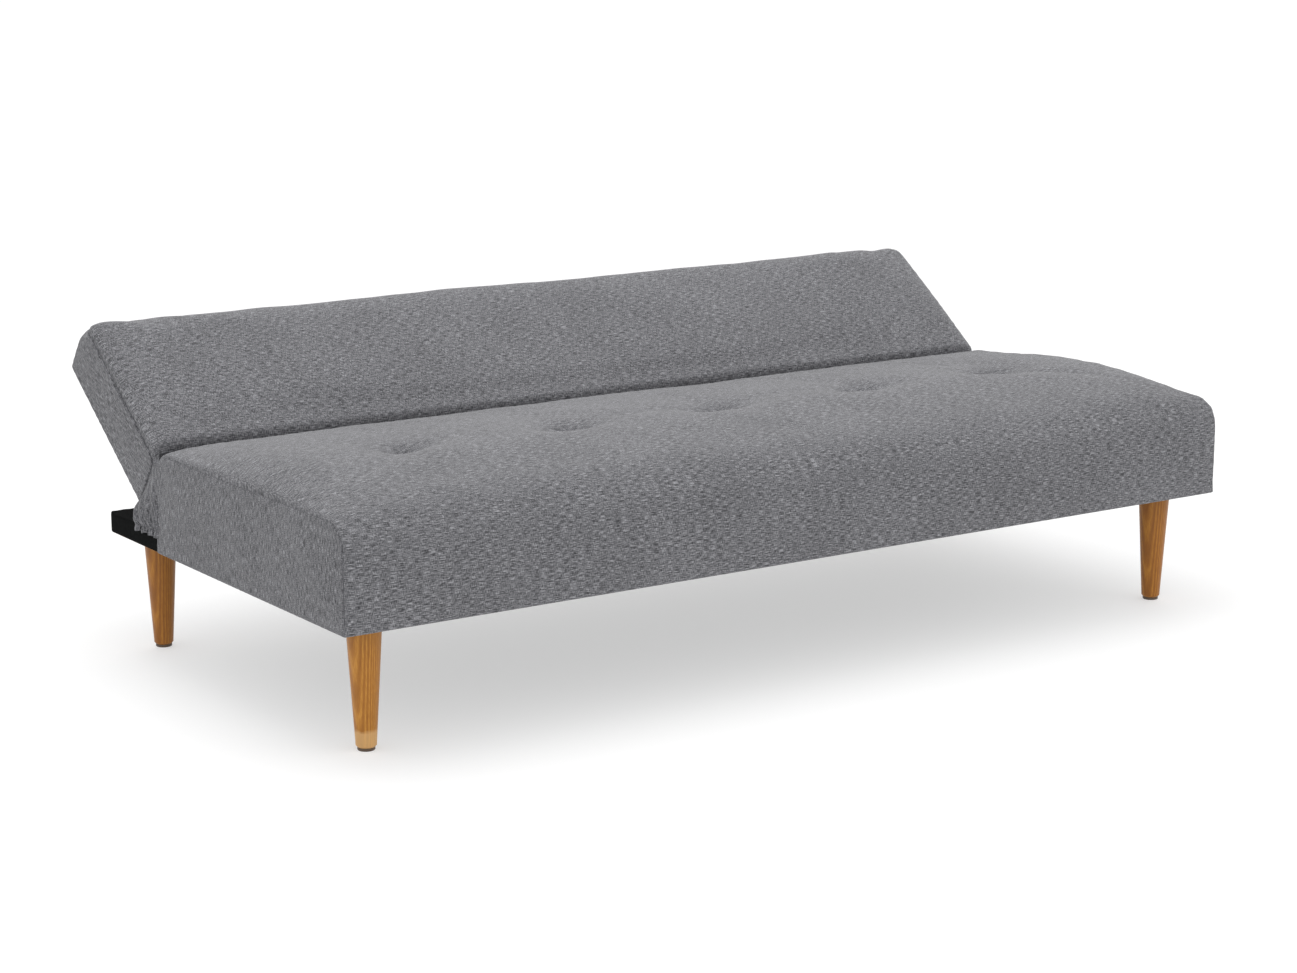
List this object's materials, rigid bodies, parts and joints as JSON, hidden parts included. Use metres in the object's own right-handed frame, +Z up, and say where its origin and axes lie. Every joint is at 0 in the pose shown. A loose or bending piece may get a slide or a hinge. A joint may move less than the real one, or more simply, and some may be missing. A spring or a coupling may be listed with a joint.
{
  "type": "futon sofa bed",
  "caption": "Upholstered click-clack sofa bed: a tufted bench seat on turned wooden legs, and a padded back that reclines on ratchet hinges until it lies level with the seat as a bed.",
  "frame": {"origin": "on the floor under the middle of the sofa bed as it stands with its back in the lounge position", "axes": "+X along the sofa from its left end to its right end as seen from the front, +Y from the seat's front face to the rear, +Z up"},
  "size_m": [1.8, 1.0006, 0.5676],
  "materials": {
    "melange_cloth": "matte",
    "black_cloth": "matte",
    "dust_cloth": "matte",
    "turned_wood": "satin",
    "frame_wood": "matte",
    "foam": "matte",
    "felt": "matte",
    "webbing": "matte",
    "twine": "matte",
    "glide_plastic": "matte",
    "spring_steel": "satin",
    "hinge_steel": "satin",
    "zinc_steel": "satin"
  },
  "bodies": {
    "stand": {"base_centre_rails": "frame_wood", "base_cover": "black_cloth", "base_rail_front": "frame_wood", "base_rail_left": "frame_wood", "base_rail_middle": "frame_wood", "base_rail_rear": "frame_wood", "base_rail_right": "frame_wood", "corner_blocks": "frame_wood", "dust_cover": "dust_cloth", "foot_glides": "glide_plastic", "frame_screws": "zinc_steel", "gusset_left": "melange_cloth", "gusset_right": "melange_cloth", "hanger_bolts": "zinc_steel", "hinge_screws_seat": "zinc_steel", "hinge_seat_plate_left": "hinge_steel", "hinge_seat_plate_right": "hinge_steel", "leg_front_left": "turned_wood", "leg_front_right": "turned_wood", "leg_rear_left": "turned_wood", "leg_rear_right": "turned_wood", "pivot_pin_left": "zinc_steel", "pivot_pin_right": "zinc_steel", "seat_centre_brace": "frame_wood", "seat_cover": "melange_cloth", "seat_foam": "foam", "seat_rail_front": "frame_wood", "seat_rail_left": "frame_wood", "seat_rail_rear": "frame_wood", "seat_rail_right": "frame_wood", "seat_springs": "spring_steel", "skirt_rear": "melange_cloth", "spring_clips": "spring_steel", "spring_felt": "felt", "tee_nuts": "zinc_steel", "tuft_cords": "twine", "tuft_washers": "zinc_steel"},
    "back": {"back_centre_stile": "frame_wood", "back_cover": "melange_cloth", "back_foam": "foam", "back_panel": "melange_cloth", "back_rail_left": "frame_wood", "back_rail_lower": "frame_wood", "back_rail_right": "frame_wood", "back_rail_upper": "frame_wood", "back_webbing": "webbing", "hinge_back_plate_left": "hinge_steel", "hinge_back_plate_right": "hinge_steel", "hinge_screws_back": "zinc_steel", "pawl_pins": "zinc_steel", "pawl_springs": "spring_steel"},
    "pawl_left": {"pawl_left": "hinge_steel"},
    "pawl_right": {"pawl_right": "hinge_steel"}
  },
  "joints": [
    {"name": "back_recline", "type": "hinge", "parent": "stand", "child": "back", "pos_m": [0, 0.17766, 0.352], "axis": [1, 0, 0], "range_deg": [-36, 34], "deforming": ["gusset_left", "gusset_right", "skirt_rear"]},
    {"name": "pawl_left_lift", "type": "hinge", "parent": "back", "child": "pawl_left", "pos_m": [-0.8665, 0.22781, 0.36124], "axis": [1, 0, 0], "range_deg": [-25, 0], "stiffness_Nm_per_rad": 0.05, "springref_deg": 14.32},
    {"name": "pawl_right_lift", "type": "hinge", "parent": "back", "child": "pawl_right", "pos_m": [0.8665, 0.22781, 0.36124], "axis": [1, 0, 0], "range_deg": [-25, 0], "stiffness_Nm_per_rad": 0.05, "springref_deg": 14.32}
  ]
}
